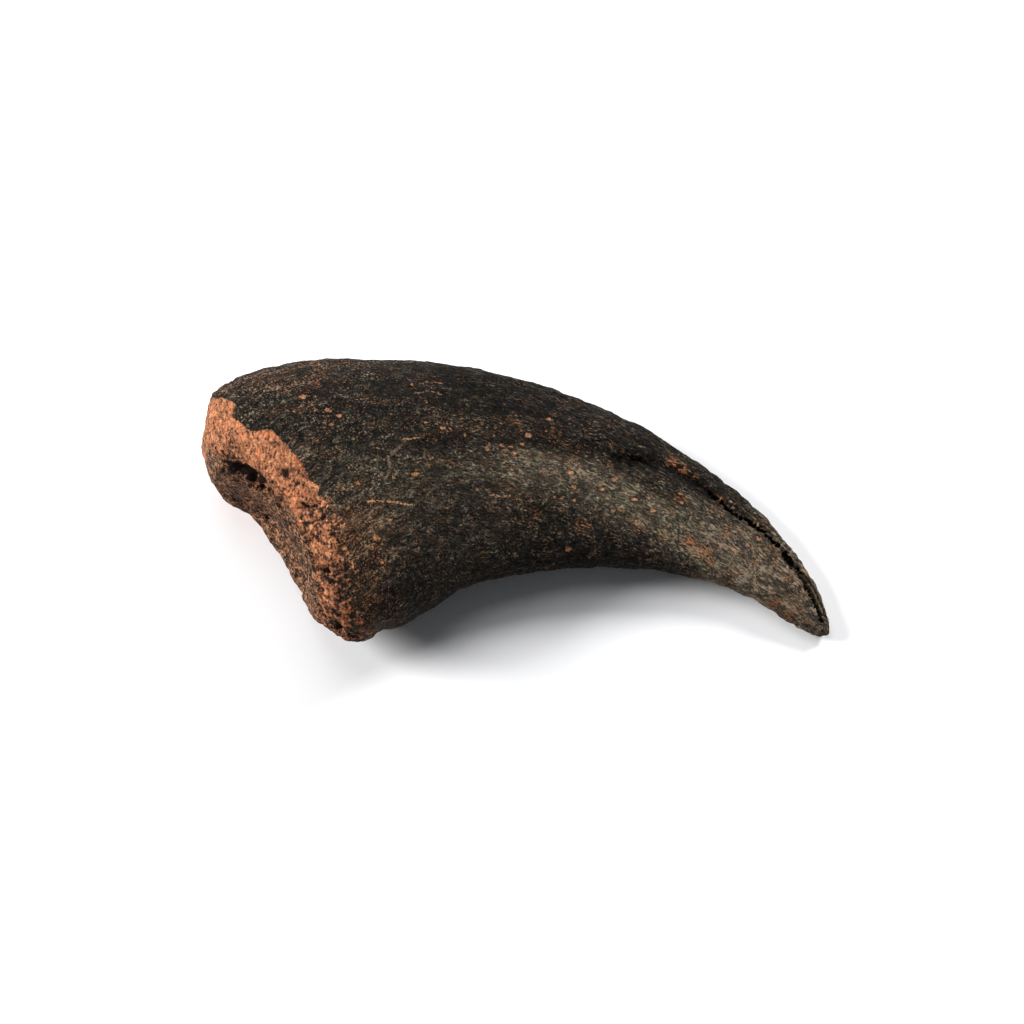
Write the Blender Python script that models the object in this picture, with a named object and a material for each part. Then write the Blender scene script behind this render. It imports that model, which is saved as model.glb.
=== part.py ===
"""Fossil hand claw of a large meat-eating dinosaur, lying on its flank: one solid.

The claw is shaped in its own plane first. There x runs from the joint face to the tip, y from the
inner curve to the back, and z across the thickness. It is then turned to lie on its lower flank, which
touches the plane z = 0 near the joint face and again near the tip, and is shaved flat there by a hair.
"""

import math

import bmesh
import bpy
from mathutils import Matrix, Vector, noise

MM = 0.001

# Sections from the joint face to the tip, in mm. Each one crosses the claw from a point on its inner
# curve to a point on its back: back x, back y, inner x, inner y, half thickness.
SECTIONS = (
    (0.0, 45.5, 37.0, 0.6, 17.0),
    (-3.7, 54.5, 39.0, 0.0, 19.6),
    (-3.2, 63.5, 41.5, 0.5, 20.9),
    (0.0, 70.2, 43.5, 1.7, 21.5),
    (9.5, 75.5, 47.0, 4.0, 21.5),
    (23.5, 79.8, 53.0, 6.0, 20.6),
    (38.5, 81.7, 61.0, 11.0, 19.4),
    (55.5, 82.5, 69.0, 17.0, 17.4),
    (71.0, 81.2, 78.5, 20.4, 15.2),
    (86.5, 78.9, 89.5, 22.7, 12.6),
    (102.0, 74.5, 100.5, 24.8, 10.3),
    (119.0, 67.5, 112.5, 25.0, 8.4),
    (133.5, 58.8, 124.5, 24.6, 6.9),
    (146.5, 49.2, 135.5, 22.8, 5.7),
    (156.0, 40.5, 145.5, 20.0, 4.9),
    (164.0, 29.8, 155.0, 14.7, 4.2),
    (169.2, 21.5, 162.5, 10.2, 3.3),
    (172.0, 12.5, 168.5, 7.2, 2.3),
)
TIP_END = (172.3, 8.2)  # mm, the middle of the blunt tip

# Across each section: where the flank is widest and where its groove runs, as shares of the way from
# the inner curve to the back, and the groove's depth in mm.
WIDEST = (
    0.66, 0.62, 0.58, 0.56, 0.55, 0.54, 0.53, 0.51, 0.49,
    0.47, 0.45, 0.44, 0.43, 0.42, 0.42, 0.43, 0.45, 0.50,
)
GROOVE = (
    0.58, 0.57, 0.56, 0.55, 0.55, 0.54, 0.54, 0.54, 0.54,
    0.56, 0.61, 0.67, 0.74, 0.73, 0.78, 0.83, 0.85, 0.86,
)
GROOVE_DEPTH = (
    0, 0, 0, 0, 0, 0.1, 0.4, 0.8, 1.0,
    1.1, 1.3, 1.3, 1.1, 1.4, 1.6, 1.5, 1.3, 0.9,
)

# How full each section is, below and above its widest line: 1 is an ellipse, less is squarer.
INNER_FULLNESS = (
    1.00, 0.88, 0.76, 0.68, 0.64, 0.64, 0.66, 0.70, 0.75,
    0.80, 0.80, 0.80, 0.80, 0.80, 0.80, 0.80, 0.85, 0.90,
)
BACK_FULLNESS = (
    0.70, 0.68, 0.68, 0.68, 0.70, 0.74, 0.78, 0.82, 0.86,
    0.90, 0.95, 0.95, 0.95, 0.95, 0.95, 0.95, 1.00, 1.00,
)

COLUMNS = 48  # points round a section
HALF_COLUMNS = COLUMNS // 2
GROOVE_COLUMN = 14  # counted from the inner curve, of the 24 up one flank
GROOVE_WIDTHS = (1.9, 0.55)  # columns, at the joint end and at the tip
BODY_RINGS = 84
FACET_RINGS = 12
TIP_RINGS = 4

# The joint face runs from a heel on the inner curve, over a notch, to a lip on the back. Places on it
# are shares of that way, and everything else about it is in mm.
FACET_MIDDLE = 0.60
RIM_HOLLOW = 6.8  # how far the side rims curve in between notch and lip
RIM_HOLLOW_AT = 0.60
RIM_HOLLOW_REACH = 0.30
NOTCH_AT = 0.31
NOTCH_STEP = 1.0
NOTCH_REACH = 0.07
HEEL_BULGE = 0.9
HEEL_AT = 0.14
HEEL_REACH = 0.12
RIM_SECTIONS = 4.5  # sections over which those curves fade out along the flank
COTYLE_DEPTH = 3.2  # the two shallow sockets, side by side
RIDGE_SHARE = 0.6  # how much of that depth the ridge between them takes back
RIDGE_WIDTH = 5.0
HEEL_CROWN = 1.4
HOLLOW_AT = (0.84, 11.5)  # the deep hollow under the lip: share, and distance from the ridge
HOLLOW_REACH = (0.09, 3.0)
HOLLOW_DEPTH = 4.5

TIP_CROWN = 0.9  # mm, how far the blunt end stands out past its last section
TIP_AIM = Vector((0.35, -0.9, 0.0))

LUMPS = ((16.0, 0.45), (6.5, 0.28))  # mm, size and height of the swellings all over
WORN_LUMP = (5.0, 0.7)  # the rougher ones on the worn joint end
WORN_REACH = 16.0  # mm from the joint face
WORN_FADE = 1.5
CALM_TIP = (25.0, 0.25)  # mm from the tip over which the swellings calm down, and the share left there

TIP_DROP = 8.3  # degrees, how far the tip leans down to the surface
ROLL = -2.6  # degrees, the back leaning down a little
SHAVED = 0.35  # mm taken off where the claw touches the surface
DIMPLE = 0.1  # mm, dimples up to this height in those flats are taken off too


def spline(values, place):
    """The value at a fractional index, on a smooth curve through all the values."""
    last = len(values) - 1
    start = min(int(place), last - 1)
    f = place - start
    p0, p1, p2, p3 = (values[min(max(start + k, 0), last)] for k in (-1, 0, 1, 2))
    bend = 2 * p0 - 5 * p1 + 4 * p2 - p3
    twist = 3 * p1 - p0 - 3 * p2 + p3
    return p1 + 0.5 * f * (p2 - p0 + f * (bend + f * twist))


BACK_X, BACK_Y, INNER_X, INNER_Y, HALF = zip(*SECTIONS)
LAST = len(SECTIONS) - 1
HEEL = Vector((INNER_X[0], INNER_Y[0], 0.0))
LIP = Vector((BACK_X[0], BACK_Y[0], 0.0))
FACET_SPAN = (LIP - HEEL).length
FACET_UP = (LIP - HEEL).normalized()
FACET_OUT = Vector((-FACET_UP.y, FACET_UP.x, 0.0))  # square to the joint face, away from the claw


def hump(offset, width):
    """1 in the middle, falling away smoothly on both sides."""
    return math.exp(-((offset / width) ** 2))


def fall(offset, width):
    """1 well below zero, 0 well above it, with a smooth step between."""
    return 1 / (1 + math.exp(offset / width))


def rim_curve(share):
    """How far the joint end lies inward, in mm, at a share of the way from heel to lip."""
    hollow = RIM_HOLLOW * math.exp(-(((share - RIM_HOLLOW_AT) / RIM_HOLLOW_REACH) ** 4))
    notch = NOTCH_STEP * hump(share - NOTCH_AT, NOTCH_REACH)
    heel = HEEL_BULGE * hump(share - HEEL_AT, HEEL_REACH)
    return hollow + notch - heel


def climb(place, rank):
    """The angle and the share of the section that a column reaches, with one column kept on the groove."""
    lift = math.log(spline(WIDEST, place)) / math.log(0.5)
    groove_angle = math.acos(1 - 2 * spline(GROOVE, place) ** (1 / lift))
    crowd = math.log(groove_angle / math.pi) / math.log(GROOVE_COLUMN / HALF_COLUMNS)
    angle = math.pi * rank**crowd
    return angle, max((1 - math.cos(angle)) / 2, 0.0) ** lift


def groove_cut(place, rank):
    """The depth of the side groove, wide and soft near the joint and a sharp slot near the tip."""
    start, end = GROOVE_WIDTHS
    width = start + (end - start) * place / LAST
    return spline(GROOVE_DEPTH, place) * hump(rank * HALF_COLUMNS - GROOVE_COLUMN, width)


def flank_point(place, column):
    """A point of the skin at a fractional section index, for a column counted from the inner curve."""
    side = 1 if column <= HALF_COLUMNS else -1
    rank = (column if side > 0 else COLUMNS - column) / HALF_COLUMNS
    angle, share = climb(place, rank)
    fullness = spline(BACK_FULLNESS if angle > math.pi / 2 else INNER_FULLNESS, place)
    across = max(math.sin(angle), 0.0) ** fullness * spline(HALF, place)
    across -= groove_cut(place, rank)
    inner = Vector((spline(INNER_X, place), spline(INNER_Y, place), 0))
    back = Vector((spline(BACK_X, place), spline(BACK_Y, place), 0))
    fade = max(1 - place / RIM_SECTIONS, 0) ** 2
    point = inner.lerp(back, share) - FACET_OUT * rim_curve(share) * fade
    point.z = side * max(across, 0.0)
    return point


def facet_point(reach, column):
    """A point of the joint face, at a share of the way out from its middle to its rim."""
    point = HEEL.lerp(LIP, FACET_MIDDLE).lerp(flank_point(0, column), reach)
    share = (point - HEEL).dot(FACET_UP) / FACET_SPAN
    point = HEEL.lerp(LIP, share) + Vector((0, 0, point.z))
    inside = 1 - reach**2
    heel = fall(share - NOTCH_AT - 0.04, 0.035)
    ridge = 1 - RIDGE_SHARE * hump(point.z, RIDGE_WIDTH)
    socket = COTYLE_DEPTH * (1 - heel) * ridge * inside**1.3
    hollow = HOLLOW_DEPTH * hump(share - HOLLOW_AT[0], HOLLOW_REACH[0])
    hollow *= hump(point.z - HOLLOW_AT[1], HOLLOW_REACH[1])
    return point - FACET_OUT * (rim_curve(share) + socket + hollow - HEEL_CROWN * heel * inside)


def tip_point(reach, column):
    """A point of the blunt tip, at a share of the way out from its middle to the last section."""
    point = Vector((*TIP_END, 0)).lerp(flank_point(LAST, column), reach)
    return point + TIP_AIM * TIP_CROWN * (1 - reach**2) * reach


def skin_point(ring, column):
    if ring <= FACET_RINGS:
        return facet_point(math.sin(math.pi / 2 * ring / FACET_RINGS), column)
    ring -= FACET_RINGS
    if ring <= BODY_RINGS:
        return flank_point(ring / BODY_RINGS * LAST, column)
    ring -= BODY_RINGS
    return tip_point(math.cos(math.pi / 2 * ring / TIP_RINGS), column)


def face_outwards(mesh):
    bmesh.ops.recalc_face_normals(mesh, faces=mesh.faces)
    if mesh.calc_volume(signed=True) < 0:
        bmesh.ops.reverse_faces(mesh, faces=mesh.faces)


def shape_skin(mesh):
    """Starts from a ball, whose poles are the joint face's middle and the tip, and moves its points."""
    rings = FACET_RINGS + BODY_RINGS + TIP_RINGS
    bmesh.ops.create_uvsphere(mesh, u_segments=COLUMNS, v_segments=rings, radius=1)
    for vert in mesh.verts:
        ring = round(math.acos(max(-1.0, min(1.0, -vert.co.z))) / math.pi * rings)
        column = round(math.atan2(vert.co.y, vert.co.x) / math.tau * COLUMNS) % COLUMNS
        vert.co = skin_point(ring, column)
    face_outwards(mesh)


def swelling(point):
    """How far the skin swells or sinks at a point, in mm: more on the worn joint end, less at the tip."""
    behind = -(point - HEEL).dot(FACET_OUT)
    size, height = WORN_LUMP
    move = fall(behind - WORN_REACH, WORN_FADE) * height * noise.noise(point / size)
    move += sum(height * noise.noise(point / size) for size, height in LUMPS)
    reach, least = CALM_TIP
    return move * min(1.0, abs(point.x - TIP_END[0]) / reach + least)


def roughen(mesh):
    mesh.normal_update()
    moves = [vert.normal * swelling(vert.co) for vert in mesh.verts]
    for vert, move in zip(mesh.verts, moves):
        vert.co += move


def lay_down(mesh):
    """Tips the claw onto its lower flank, and shaves it where it touches the surface."""
    turn = Matrix.Rotation(math.radians(ROLL), 4, "X") @ Matrix.Rotation(math.radians(TIP_DROP), 4, "Y")
    bmesh.ops.transform(mesh, matrix=turn, verts=mesh.verts)
    lows = [min(vert.co[axis] for vert in mesh.verts) for axis in range(3)]
    highs = [max(vert.co[axis] for vert in mesh.verts) for axis in range(3)]
    middle = Vector(((lows[0] + highs[0]) / 2, (lows[1] + highs[1]) / 2, lows[2] + SHAVED))
    bmesh.ops.translate(mesh, vec=-middle, verts=mesh.verts)
    for vert in mesh.verts:
        if vert.co.z < DIMPLE:
            vert.co.z = -DIMPLE
    everything = mesh.verts[:] + mesh.edges[:] + mesh.faces[:]
    bmesh.ops.bisect_plane(mesh, geom=everything, plane_co=(0, 0, 0), plane_no=(0, 0, -1), clear_outer=True)
    open_edges = [edge for edge in mesh.edges if edge.is_boundary]
    bmesh.ops.holes_fill(mesh, edges=open_edges, sides=0)
    face_outwards(mesh)
    bmesh.ops.scale(mesh, vec=(MM, MM, MM), verts=mesh.verts)


def fossil_material():
    material = bpy.data.materials.new("fossil bone")
    material.use_nodes = True
    shader = material.node_tree.nodes["Principled BSDF"]
    shader.inputs["Base Color"].default_value = (0.030, 0.022, 0.017, 1)
    shader.inputs["Roughness"].default_value = 0.8
    return material


def make_claw():
    mesh = bmesh.new()
    shape_skin(mesh)
    roughen(mesh)
    lay_down(mesh)
    data = bpy.data.meshes.new("claw")
    mesh.to_mesh(data)
    mesh.free()
    data.shade_smooth()
    data.materials.append(fossil_material())
    return bpy.data.objects.new("claw", data)


def main():
    for old in list(bpy.data.objects):
        bpy.data.objects.remove(old, do_unlink=True)
    collection = bpy.data.collections.new("dinosaur fossil claw")
    bpy.context.scene.collection.children.link(collection)
    collection.objects.link(make_claw())


main()
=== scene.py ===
import math

import bmesh
import bpy
import numpy as np
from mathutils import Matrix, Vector, noise
from mathutils.kdtree import KDTree


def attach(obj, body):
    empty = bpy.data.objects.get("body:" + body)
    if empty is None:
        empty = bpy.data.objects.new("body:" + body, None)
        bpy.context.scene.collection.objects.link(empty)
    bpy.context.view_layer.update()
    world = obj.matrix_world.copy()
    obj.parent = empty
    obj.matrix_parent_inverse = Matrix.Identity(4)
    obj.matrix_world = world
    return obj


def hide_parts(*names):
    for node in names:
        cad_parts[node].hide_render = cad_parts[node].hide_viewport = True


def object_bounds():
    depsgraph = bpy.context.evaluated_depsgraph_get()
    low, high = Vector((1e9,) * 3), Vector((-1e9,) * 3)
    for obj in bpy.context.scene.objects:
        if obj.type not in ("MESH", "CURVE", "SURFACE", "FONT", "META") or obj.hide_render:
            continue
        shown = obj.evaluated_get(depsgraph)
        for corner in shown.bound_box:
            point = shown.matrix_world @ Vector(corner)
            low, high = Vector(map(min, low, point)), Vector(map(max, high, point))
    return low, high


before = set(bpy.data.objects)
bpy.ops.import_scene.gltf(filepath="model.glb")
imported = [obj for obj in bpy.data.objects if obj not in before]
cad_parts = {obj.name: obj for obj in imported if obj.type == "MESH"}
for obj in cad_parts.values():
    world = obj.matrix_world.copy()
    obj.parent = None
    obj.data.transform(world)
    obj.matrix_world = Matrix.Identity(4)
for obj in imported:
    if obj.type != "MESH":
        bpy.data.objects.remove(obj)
cadLow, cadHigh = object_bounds()
print("frame loaded:", sorted(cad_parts))

mm = 0.001

# The claw's skin. Lengths are in mm. Places are x and y in the frame, as the claw lies.
claw = {
    "smoothing": 2,
    "fineReach": (  # how near to a mark's edge the skin is split once more; below 0 is inside the edge
        {"dots": 0.35, "veins": 0.3, "slits": 0.3, "slot": 0.7},
        {"veins": -0.14, "slot": 0.1},
    ),
    "lumps": {  # size, octaves, shift, height
        "broad": (7.0, 2, 0.0, 0.28),
        "middling": (2.8, 2, 5.2, 0.24),
        "small": (1.3, 2, 11.0, 0.15),
        "bladeFolds": ((12.0, 1.9, 1.9), 2, 1.7, 0.24),
        "skinFibres": ((3.6, 1.0, 1.0), 2, 8.8, 0.10),
        "wrinkles": (2.1, 2, 33.0, 0.55),
        "tipKnobs": (1.8, 3, 6.6, 0.20),
        "wearWander": (9.0, 2, 14.0, 6.0),
        "wearRagged": (2.2, 2, 3.1, 1.2),
        "wornGrain": (1.0, 2, 2.4, 0.22),
        "heelPocks": (4.2, 2, 21.0, 1.0),
        "slotWander": (4.0, 1, 2.9, 0.40),
        "slotRagged": (0.9, 3, 9.4, 0.75),
        "slitRagged": (1.2, 2, 4.4, 0.3),
        "hollowRough": (2.0, 2, 13.0, 0.6),
        "hollowRagged": (1.7, 2, 7.9, 0.4),
    },
    "middleLine": (
        (-92.0, -34.0), (-66.0, -16.0), (-50.0, 2.0), (-34.0, 9.5), (-14.0, 11.5), (8.0, 9.5),
        (28.0, 4.0), (45.0, -3.5), (59.0, -12.0), (70.0, -20.5), (79.0, -28.0), (89.0, -38.0),
    ),
    "wearEdge": (  # where the dark skin ends and the worn orange joint end begins
        (-84.5, 25.0), (-82.5, 24.2), (-79.5, 22.6), (-76.2, 20.8), (-77.0, 18.5), (-77.0, 16.5),
        (-75.0, 15.0), (-73.5, 13.4), (-72.2, 12.1), (-68.5, 12.0), (-65.5, 12.0), (-64.5, 10.5),
        (-62.0, 8.0), (-60.5, 6.0), (-59.0, 4.4), (-57.0, 2.0), (-56.0, 0.0), (-54.5, -3.5),
        (-53.0, -4.6), (-50.0, -10.5), (-47.5, -16.0), (-46.5, -19.5), (-45.0, -27.0), (-43.5, -34.0),
        (-41.5, -39.0), (-37.0, -50.0),
    ),
    "wornLoss": 0.25,  # how far the worn end lies below the skin
    "wornCellSize": 1.9,
    "wornCellHeight": 0.34,
    "pockDepth": 0.45,
    "jointHeel": (-45.0, -40.5),  # the joint face hangs between these two
    "jointLip": (-86.5, 2.0),
    "trough": (
        (-25.5, 10.5), (-16.5, 12.5), (-7.5, 13.5), (1.0, 14.0), (10.5, 15.0), (20.0, 14.8),
        (29.0, 13.2), (36.0, 14.0), (42.0, 12.0), (48.0, 9.5), (53.0, 7.0), (56.5, 4.5),
    ),
    "troughDepth": 0.65,
    "troughHalf": 1.5,
    "valley": (  # the wide dip that the trough opens into before the slot, darkened there with painted shade
        (32.0, 13.0), (36.0, 13.0), (40.5, 12.0), (44.5, 10.8), (48.0, 9.2), (51.5, 7.4), (55.0, 5.2),
    ),
    "valleyDepth": 0.8,
    "valleyHalf": 1.9,
    "valleyShadeHalf": 2.6,
    "slot": (
        (55.0, 5.4), (57.0, 3.4), (59.0, 1.2), (62.0, -1.0), (64.5, -2.2), (67.5, -4.4), (69.5, -5.4),
        (73.5, -9.4), (75.5, -11.8), (77.5, -15.0), (80.3, -18.9), (82.0, -22.3), (83.7, -25.8),
        (84.8, -29.0), (85.2, -31.0),
    ),
    "slotDepth": 1.9,
    "slotHalf": 0.58,
    "slotTipWidening": 0.30,
    "slits": (  # short cracks and slits: points, half width, depth
        (((20.5, 17.4), (24.0, 18.0), (28.0, 18.2)), 0.35, 0.6),
        (((33.0, 13.6), (35.5, 13.4), (38.0, 12.4)), 0.5, 0.6),
        (((46.0, 10.2), (48.5, 8.8), (51.5, 7.2)), 0.25, 0.4),
        (((-12.5, -7.5), (-9.5, -9.8), (-7.5, -11.0)), 0.25, 0.35),
        (((-57.5, -8.5), (-55.0, -9.4), (-52.5, -8.6)), 0.45, 0.6),
    ),
    "pits": (  # x, y, z, radius, depth
        (27.6, 13.9, 16.8, 1.3, 1.1), (29.4, 13.1, 16.2, 1.5, 1.3), (32.3, 11.9, 15.5, 1.1, 0.8),
        (40.0, -13.5, 13.0, 0.6, 0.9), (84.4, -26.4, 5.2, 1.1, 0.9), (82.8, -23.0, 5.6, 0.9, 0.6),
        (-62.0, -0.5, 44.3, 2.1, 0.7), (-51.5, -12.0, 42.5, 1.3, 0.6), (-51.0, -26.0, 38.5, 1.8, 0.9),
        (-48.0, -38.5, 25.5, 2.2, 1.3), (-52.5, -37.0, 22.0, 1.6, 0.9), (-52.0, -30.0, 34.0, 1.3, 0.6),
        (-72.5, 1.5, 29.5, 1.6, 0.9), (-64.0, -3.5, 29.0, 1.5, 0.9), (-69.5, -3.0, 12.0, 1.5, 0.9),
        (-60.0, -9.0, 27.0, 1.1, 0.5), (-56.0, -17.0, 22.0, 1.2, 0.6), (-66.0, -6.0, 16.0, 1.0, 0.5),
        (-80.5, 4.5, 30.0, 1.3, 0.9), (-70.0, 0.0, 28.0, 1.4, 1.0), (-67.0, -1.8, 28.5, 1.1, 0.7),
        (-52.0, 23.0, 20.0, 1.4, 0.7), (-60.0, 18.0, 4.0, 1.6, 0.7), (10.0, 8.0, 3.5, 1.2, 0.7),
        (40.0, 6.0, 1.5, 1.0, 0.6), (-20.0, 38.0, 15.0, 1.2, 0.5),
    ),
    "pitRough": 0.35,
    "dips": (  # broad soft ones in the same order, which keep their colour
        (-57.0, 20.5, 41.0, 4.5, 0.5), (-49.5, 16.0, 41.0, 3.6, 0.4), (-27.5, 1.0, 37.0, 3.0, 0.45),
        (-66.0, 15.0, 43.0, 2.4, 0.5), (-70.5, 19.0, 42.0, 2.0, 0.4), (-57.5, 10.0, 43.5, 2.4, 0.4),
        (-10.0, -9.0, 30.0, 3.0, 0.3), (-31.0, -18.0, 38.0, 5.0, 0.35), (20.0, 22.0, 17.0, 4.0, 0.3),
    ),
    "dipRough": 0.15,
    "jointMiddle": (15.73, -0.107, -0.0325),  # the middle plane's height at the joint: z = a + b x + c y
    "cupFill": 1.2,  # how much the joint face's cup is filled towards its heel
    "hollowAt": (0.84, 11.0),  # the deep hole under the lip: share of the way to it, and mm off the middle
    "hollowSize": (0.145, 5.2),
    "hollowDepth": 3.4,
    "deepAt": (0.80, 8.0),  # the paler brown round the hollow, placed in the same way
    "deepSize": (0.20, 8.0),
    "dotScale": 0.69,
    "dotSqueeze": (0.64, 1.0),  # they are longer along the claw than across it
    "dotDip": 0.20,
    "dotRim": 0.10,
    "dots": (  # little filled holes: x, y, radius, tint from 0 orange to 1 cream
        (-58.0, 23.0, 0.95, 0.1), (-56.0, 21.6, 0.5, 0.2), (-54.5, 19.0, 0.65, 0.0), (-51.0, 19.0, 0.8, 0.1),
        (-48.0, 17.4, 0.75, 0.1), (-50.0, 14.6, 0.7, 0.1), (-42.5, -2.0, 0.65, 0.1), (-33.0, 0.4, 0.5, 0.0),
        (-31.6, -4.5, 0.4, 0.0), (-34.0, -6.6, 0.7, 0.2), (-34.2, -11.6, 0.7, 0.1), (-37.6, -16.8, 1.0, 0.1),
        (-36.0, -23.0, 0.7, 0.0), (-37.4, -27.2, 0.7, 0.1), (-27.2, 1.9, 0.8, -0.1), (-7.4, 13.1, 0.65, 0.0),
        (-3.6, 13.4, 0.75, 0.0), (-1.0, 13.3, 0.55, 0.0), (2.0, 14.4, 0.55, 0.0), (3.6, 17.0, 0.90, 0.2),
        (-14.0, 15.4, 0.55, 0.1), (-0.6, 11.0, 0.55, 0.0), (-3.6, 20.0, 0.5, 0.1), (9.4, 23.0, 0.75, 0.1),
        (-20.0, 16.4, 0.75, 0.0), (-18.0, 16.4, 0.45, 0.0), (-24.4, 24.0, 0.4, 0.2), (-28.6, 29.5, 0.5, 0.0),
        (-23.0, 7.0, 0.55, 0.0), (-1.0, 6.2, 0.5, 0.1), (-10.6, -0.6, 0.4, 0.6), (15.0, 7.0, 0.85, 0.7),
        (27.4, 6.4, 0.85, 0.0), (24.2, 2.9, 0.75, -0.2), (33.0, 1.0, 0.80, 0.3), (16.0, -1.0, 0.6, 0.6),
        (16.2, 3.0, 0.7, 0.2), (13.0, -0.6, 0.5, 0.6), (10.6, -0.6, 0.5, 0.7), (27.0, -3.0, 0.6, 0.8),
        (38.0, -2.0, 0.75, 0.6), (46.0, 3.6, 0.6, 0.2), (46.4, 1.1, 0.7, 0.3), (14.6, -14.0, 0.75, 0.0),
        (67.4, -3.2, 0.8, 0.1), (68.0, -8.0, 0.8, 0.2), (8.4, 19.0, 0.4, 0.1), (-0.6, 20.4, 0.4, 0.1),
        (57.6, 2.4, 0.45, 0.5), (60.4, 2.9, 0.4, 0.5), (61.0, 1.1, 0.4, 0.5),
    ),
    "veins": (  # fine pale lines: points, half width, tint
        (((-34.0, 3.0), (-34.4, 6.0), (-31.6, 9.4)), 0.50, 0.9),
        (((-35.5, -1.0), (-34.0, 3.0)), 0.40, 0.9),
        (((-40.0, -7.0), (-34.0, -6.7), (-27.5, -7.1)), 0.30, 0.1),
        (((-35.5, 1.0), (-41.0, -1.4), (-46.0, -4.5)), 0.20, 0.3),
        (((-28.0, 26.4), (-24.0, 27.6), (-20.5, 27.0)), 0.2, 0.5),
        (((-26.5, 30.0), (-23.0, 31.2), (-20.0, 30.8)), 0.2, 0.3),
        (((-31.5, 12.0), (-28.4, 12.2), (-25.0, 13.6)), 0.26, 0.3),
        (((-7.0, -1.8), (-4.0, -2.0), (-1.0, -1.4)), 0.27, 0.2),
        (((-19.4, 23.0), (-18.6, 27.0), (-18.0, 30.6)), 0.12, 0.9),
        (((-4.6, 14.4), (-3.4, 16.4), (-2.0, 18.6)), 0.12, 0.9),
        (((20.0, -3.4), (21.4, -9.0), (22.2, -14.6)), 0.14, 0.9),
        (((-34.0, -25.0), (-34.2, -31.0), (-33.8, -35.5)), 0.13, 0.8),
        (((52.6, 2.6), (53.6, 2.0), (54.6, 1.2)), 0.3, 1.0),
        (((34.0, 17.4), (36.5, 17.0)), 0.2, 0.7),
        (((57.0, -5.0), (55.5, -8.0), (54.5, -10.0)), 0.3, 1.0),
        (((61.0, -5.0), (62.0, -7.0), (64.0, -9.0)), 0.3, 1.0),
        (((63.8, 1.0), (64.4, 2.4), (66.0, 2.4), (66.6, 1.0)), 0.16, 1.0),
        (((46.5, 13.0), (44.5, 13.6), (42.0, 14.4)), 0.14, 0.6),
    ),
    "patches": (  # stains: x, y, radius, how rusty, how chalky
        (48.5, -10.5, 2.6, 0.9, 0.0), (52.5, -12.8, 2.4, 1.0, 0.0), (54.5, -15.5, 1.8, 0.7, 0.0),
        (54.5, -9.5, 2.0, 0.0, 0.8), (61.5, -8.5, 2.0, 0.0, 0.7), (59.0, -6.0, 1.8, 0.5, 0.3),
        (64.5, -19.5, 2.6, 0.1, 1.0), (63.5, -22.0, 2.0, 0.1, 0.9), (73.0, -18.5, 2.0, 0.1, 0.7),
        (83.5, -28.0, 2.0, 0.0, 0.9), (72.0, -26.5, 2.6, 0.7, 0.2), (76.0, -29.5, 2.4, 0.8, 0.2),
        (-49.5, -33.0, 2.2, 1.0, 0.0), (-46.0, -36.0, 2.0, 1.0, 0.0), (-52.0, -30.5, 1.6, 0.8, 0.0),
        (-24.0, 5.0, 2.4, 0.35, 0.0), (-25.0, 1.5, 2.0, 0.0, 0.5), (5.0, -6.0, 3.4, 0.42, 0.0),
        (18.0, -8.5, 3.6, 0.40, 0.0), (-6.0, 17.0, 4.0, 0.3, 0.0), (66.0, -12.0, 3.0, 0.3, 0.5),
        (46.0, 2.5, 2.2, 0.6, 0.2), (8.0, 9.0, 3.0, 0.2, 0.5), (57.0, -11.0, 3.0, 0.2, 0.5),
        (78.0, -22.0, 2.4, 0.3, 0.6), (69.0, -16.0, 2.4, 0.4, 0.5), (58.0, 3.0, 1.8, 0.9, 0.0),
        (44.0, 13.6, 1.7, 0.9, 0.0), (47.4, 11.8, 1.6, 1.0, 0.0), (50.5, 9.8, 1.4, 0.7, 0.0),
    ),
}


def smoothLine(points, step):
    # a smooth line through the points, as an array with a point about every step
    knots = [Vector(points[0]) * 2 - Vector(points[1]), *map(Vector, points)]
    knots.append(Vector(points[-1]) * 2 - Vector(points[-2]))
    out = []
    for a, b, c, d in zip(knots, knots[1:], knots[2:], knots[3:]):
        count = max(2, round((c - b).length / step))
        for k in range(count):
            t = k / count
            bend = (c - a) * t + (a * 2 - b * 5 + c * 4 - d) * t ** 2 + (b * 3 - a - c * 3 + d) * t ** 3
            out.append(b + bend / 2)
    out.append(knots[-2])
    return np.array(out)


def nearestOf(points, spots):
    # for each spot: how far the nearest of the points is, and which one it is
    tree = KDTree(len(points))
    for k, point in enumerate(points):
        tree.insert((point[0], point[1], 0.0), k)
    tree.balance()
    found = [tree.find((x, y, 0.0))[1:] for x, y in spots.tolist()]
    which, gap = np.array(found).T
    return gap, which.astype(int)


def sideOf(line, spots, which):
    # positive to the left of the line's run, negative to its right
    ahead = np.gradient(line, axis=0)[which]
    away = spots - line[which]
    return np.sign(ahead[:, 0] * away[:, 1] - ahead[:, 1] * away[:, 0])


def ease(value, start, end):
    # 0 at start, 1 at end, smooth between; start may be the higher of the two
    t = np.clip((value - start) / (end - start), 0, 1)
    return t * t * (3 - 2 * t)


def bell(value, half):
    # 1 at nought, falling away smoothly on both sides
    return np.exp(-(value / half) ** 2)


def lumps(places, size, octaves, shift):
    # smooth noise of about -1 to 1, with lumps of this size; size may differ along each axis
    scaled = places / np.array(size, float) + shift
    return np.array([noise.fractal(spot, 1.0, 2.0, octaves) for spot in map(Vector, scaled.tolist())])


def lumpy(kind, places):
    # the claw's lumps of this kind, in mm
    size, octaves, shift, height = claw["lumps"][kind]
    return lumps(places, size, octaves, shift) * height


def cells(places, size):
    # distance from each place to its nearest seed, in cells of about this size
    scaled = places / size
    return np.array([noise.voronoi(spot)[0][0] for spot in map(Vector, scaled.tolist())])


def gapToLine(name, spots, step):
    return nearestOf(smoothLine(claw[name], step), spots)[0]


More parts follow.
